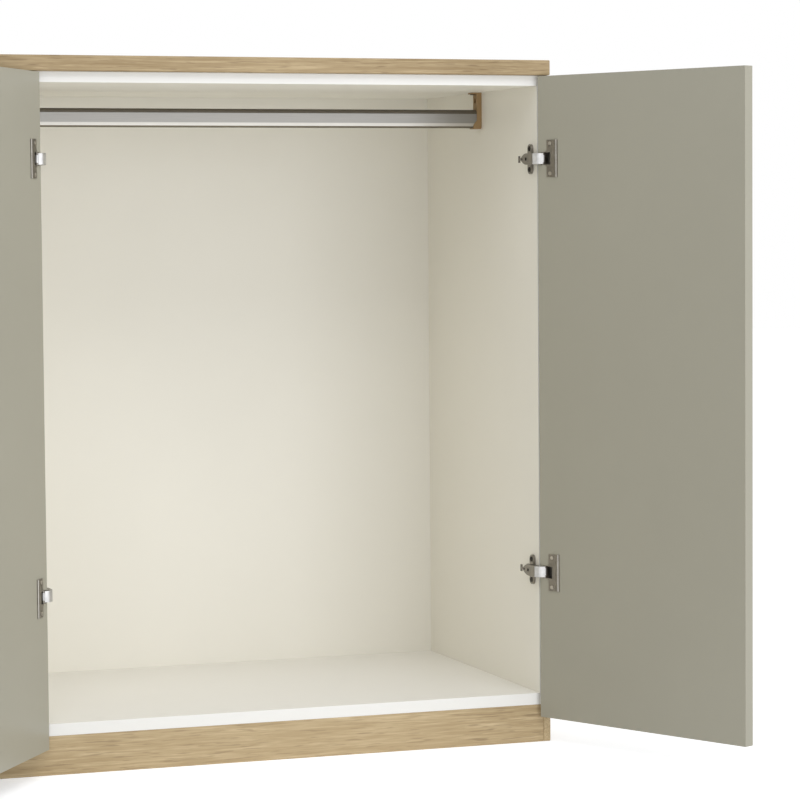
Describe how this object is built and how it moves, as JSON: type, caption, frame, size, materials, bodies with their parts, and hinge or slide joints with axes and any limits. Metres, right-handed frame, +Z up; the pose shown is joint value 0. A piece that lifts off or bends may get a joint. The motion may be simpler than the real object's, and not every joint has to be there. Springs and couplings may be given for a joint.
{
  "type": "chest of drawers",
  "caption": "Low cabinet with an oak top and plinth: a hanging bay with lacquered doors on cup hinges and a clothes rail, an open niche with shelves and a bay of handle-free drawers.",
  "frame": {"origin": "on the floor, under the middle of the piece's width and of the depth of its bays, on the underside of the middle plinth brace", "axes": "X runs to the right as seen by somebody facing the doors, Y runs from the front to the back, Z is up"},
  "size_m": [1.6302, 0.8786, 1.05],
  "materials": {
    "oak": "matt oil on light oak",
    "sage_lacquer": "satin greige lacquer on board",
    "white_board": "satin warm white lacquer on board",
    "birch": "clear lacquered birch",
    "nickel": "satin nickel plate",
    "bright_nickel": "bright nickel plate",
    "zinc_steel": "zinc plate",
    "rail_metal": "satin anodised grey",
    "rail_cap": "matt dark brown plastic",
    "bracket": "matt brown plastic"
  },
  "bodies": {
    "case": {"oak_top": "oak", "hanging_side_left": "white_board", "hanging_side_right": "white_board", "hanging_top": "white_board", "hanging_floor": "white_board", "hanging_back": "white_board", "drawer_case_left": "white_board", "drawer_case_right": "white_board", "drawer_case_top": "white_board", "drawer_case_floor": "white_board", "drawer_case_back": "white_board", "niche_top": "oak", "niche_floor": "oak", "niche_back": "oak", "niche_shelves": "oak", "plinth_front": "oak", "plinth_back": "oak", "plinth_end_left": "oak", "plinth_end_right": "oak", "plinth_braces": "birch", "hanging_rail": "rail_metal", "rail_cap": "rail_cap", "rail_brackets": "bracket", "hinge_plates": "nickel", "hinge_arms_left": "nickel", "hinge_arms_right": "nickel", "arm_screws": "zinc_steel", "case_runners": "zinc_steel", "case_screws": "zinc_steel", "top_screws": "zinc_steel"},
    "left_door": {"door_left": "sage_lacquer", "hinge_cups_left": "nickel", "cup_screws_left": "zinc_steel"},
    "left_link": {"hinge_links_left": "bright_nickel", "hinge_pins_left": "bright_nickel"},
    "right_door": {"door_right": "sage_lacquer", "hinge_cups_right": "nickel", "cup_screws_right": "zinc_steel"},
    "right_link": {"hinge_links_right": "bright_nickel", "hinge_pins_right": "bright_nickel"},
    "drawer_1": {"drawer_1_front": "sage_lacquer", "drawer_1_sides": "birch", "drawer_1_back": "birch", "drawer_1_bottom": "birch", "drawer_1_slides": "zinc_steel"},
    "drawer_2": {"drawer_2_front": "sage_lacquer", "drawer_2_sides": "birch", "drawer_2_back": "birch", "drawer_2_bottom": "birch", "drawer_2_slides": "zinc_steel"},
    "drawer_3": {"drawer_3_front": "sage_lacquer", "drawer_3_sides": "birch", "drawer_3_back": "birch", "drawer_3_bottom": "birch", "drawer_3_slides": "zinc_steel"},
    "drawer_4": {"drawer_4_front": "sage_lacquer", "drawer_4_sides": "birch", "drawer_4_back": "birch", "drawer_4_bottom": "birch", "drawer_4_slides": "zinc_steel"}
  },
  "joints": [
    {"name": "right_link_swing", "type": "hinge", "parent": "case", "child": "right_link", "pos_m": [0.7041, -0.2634, 0.583], "axis": [0, 0, -1], "range_deg": [-47.39, 3.48]},
    {"name": "right_door_hinge", "type": "hinge", "parent": "right_link", "child": "right_door", "pos_m": [0.71566, -0.27043, 0.583], "axis": [0, 0, 1], "range_deg": [-163.38, 11.97]},
    {"name": "left_link_swing", "type": "hinge", "parent": "case", "child": "left_link", "pos_m": [-0.0591, -0.2634, 0.583], "axis": [0, 0, 1], "range_deg": [-50.45, 0.42]},
    {"name": "left_door_hinge", "type": "hinge", "parent": "left_link", "child": "left_door", "pos_m": [-0.07027, -0.27104, 0.583], "axis": [0, 0, -1], "range_deg": [-173.94, 1.41]},
    {"name": "drawer_1_slide", "type": "slide", "parent": "case", "child": "drawer_1", "axis": [0, -1, 0], "range_m": [0, 0.33]},
    {"name": "drawer_2_slide", "type": "slide", "parent": "case", "child": "drawer_2", "axis": [0, -1, 0], "range_m": [0, 0.33]},
    {"name": "drawer_3_slide", "type": "slide", "parent": "case", "child": "drawer_3", "axis": [0, -1, 0], "range_m": [0, 0.33]},
    {"name": "drawer_4_slide", "type": "slide", "parent": "case", "child": "drawer_4", "axis": [0, -1, 0], "range_m": [0, 0.33]}
  ],
  "couplings": [
    {"joint": "right_link_swing", "follows": "right_door_hinge", "ratio": 0.29},
    {"joint": "left_link_swing", "follows": "left_door_hinge", "ratio": 0.29}
  ]
}
